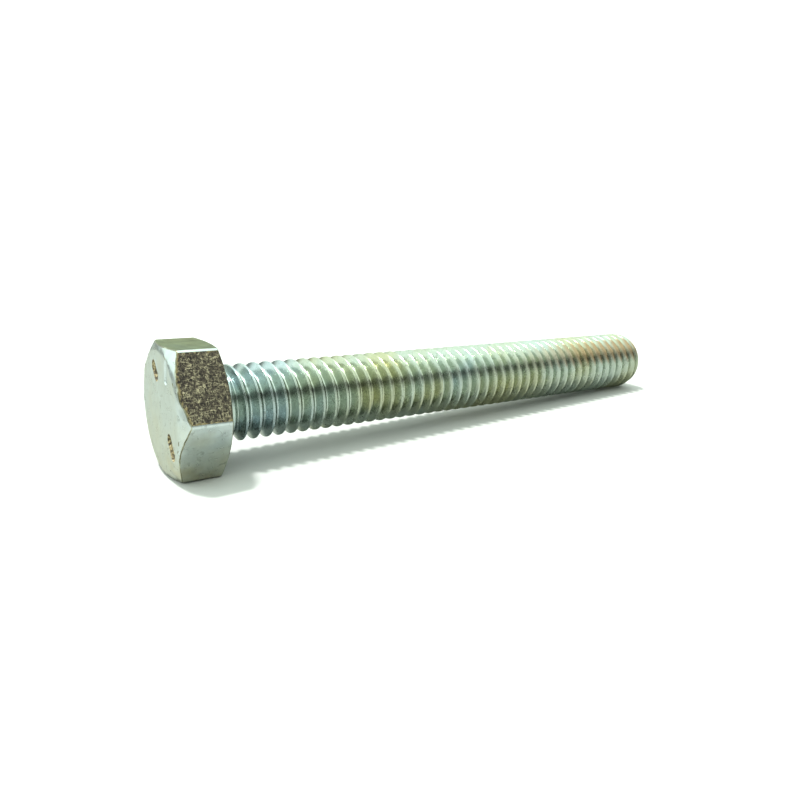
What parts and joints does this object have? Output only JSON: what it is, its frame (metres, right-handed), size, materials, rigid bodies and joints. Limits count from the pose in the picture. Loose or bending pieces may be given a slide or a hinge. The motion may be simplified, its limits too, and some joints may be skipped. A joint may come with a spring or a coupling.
{
  "type": "hex bolt",
  "caption": "Fully threaded hexagon head bolt: chamfered hex head, short plain neck, right-hand coarse thread to the head and a chamfered point.",
  "frame": {"origin": "centre of the head's bearing face, on the bolt's axis", "axes": "+X along the bolt's axis from the head to the point, +Z square to two of the hexagon's flats, so the bolt lies on its side as it does on a bench, +Y completes the right-handed set"},
  "size_m": [0.0687, 0.0146, 0.0128],
  "materials": {
    "plated_head": "satin zinc plate with a clear blue-green passivate, one flat dark and rough",
    "plated_thread": "bright zinc plate with a clear passivate that shows yellow-green and blue"
  },
  "bodies": {
    "root": {"hex_head": "plated_head", "threaded_shank": "plated_thread"}
  },
  "joints": []
}
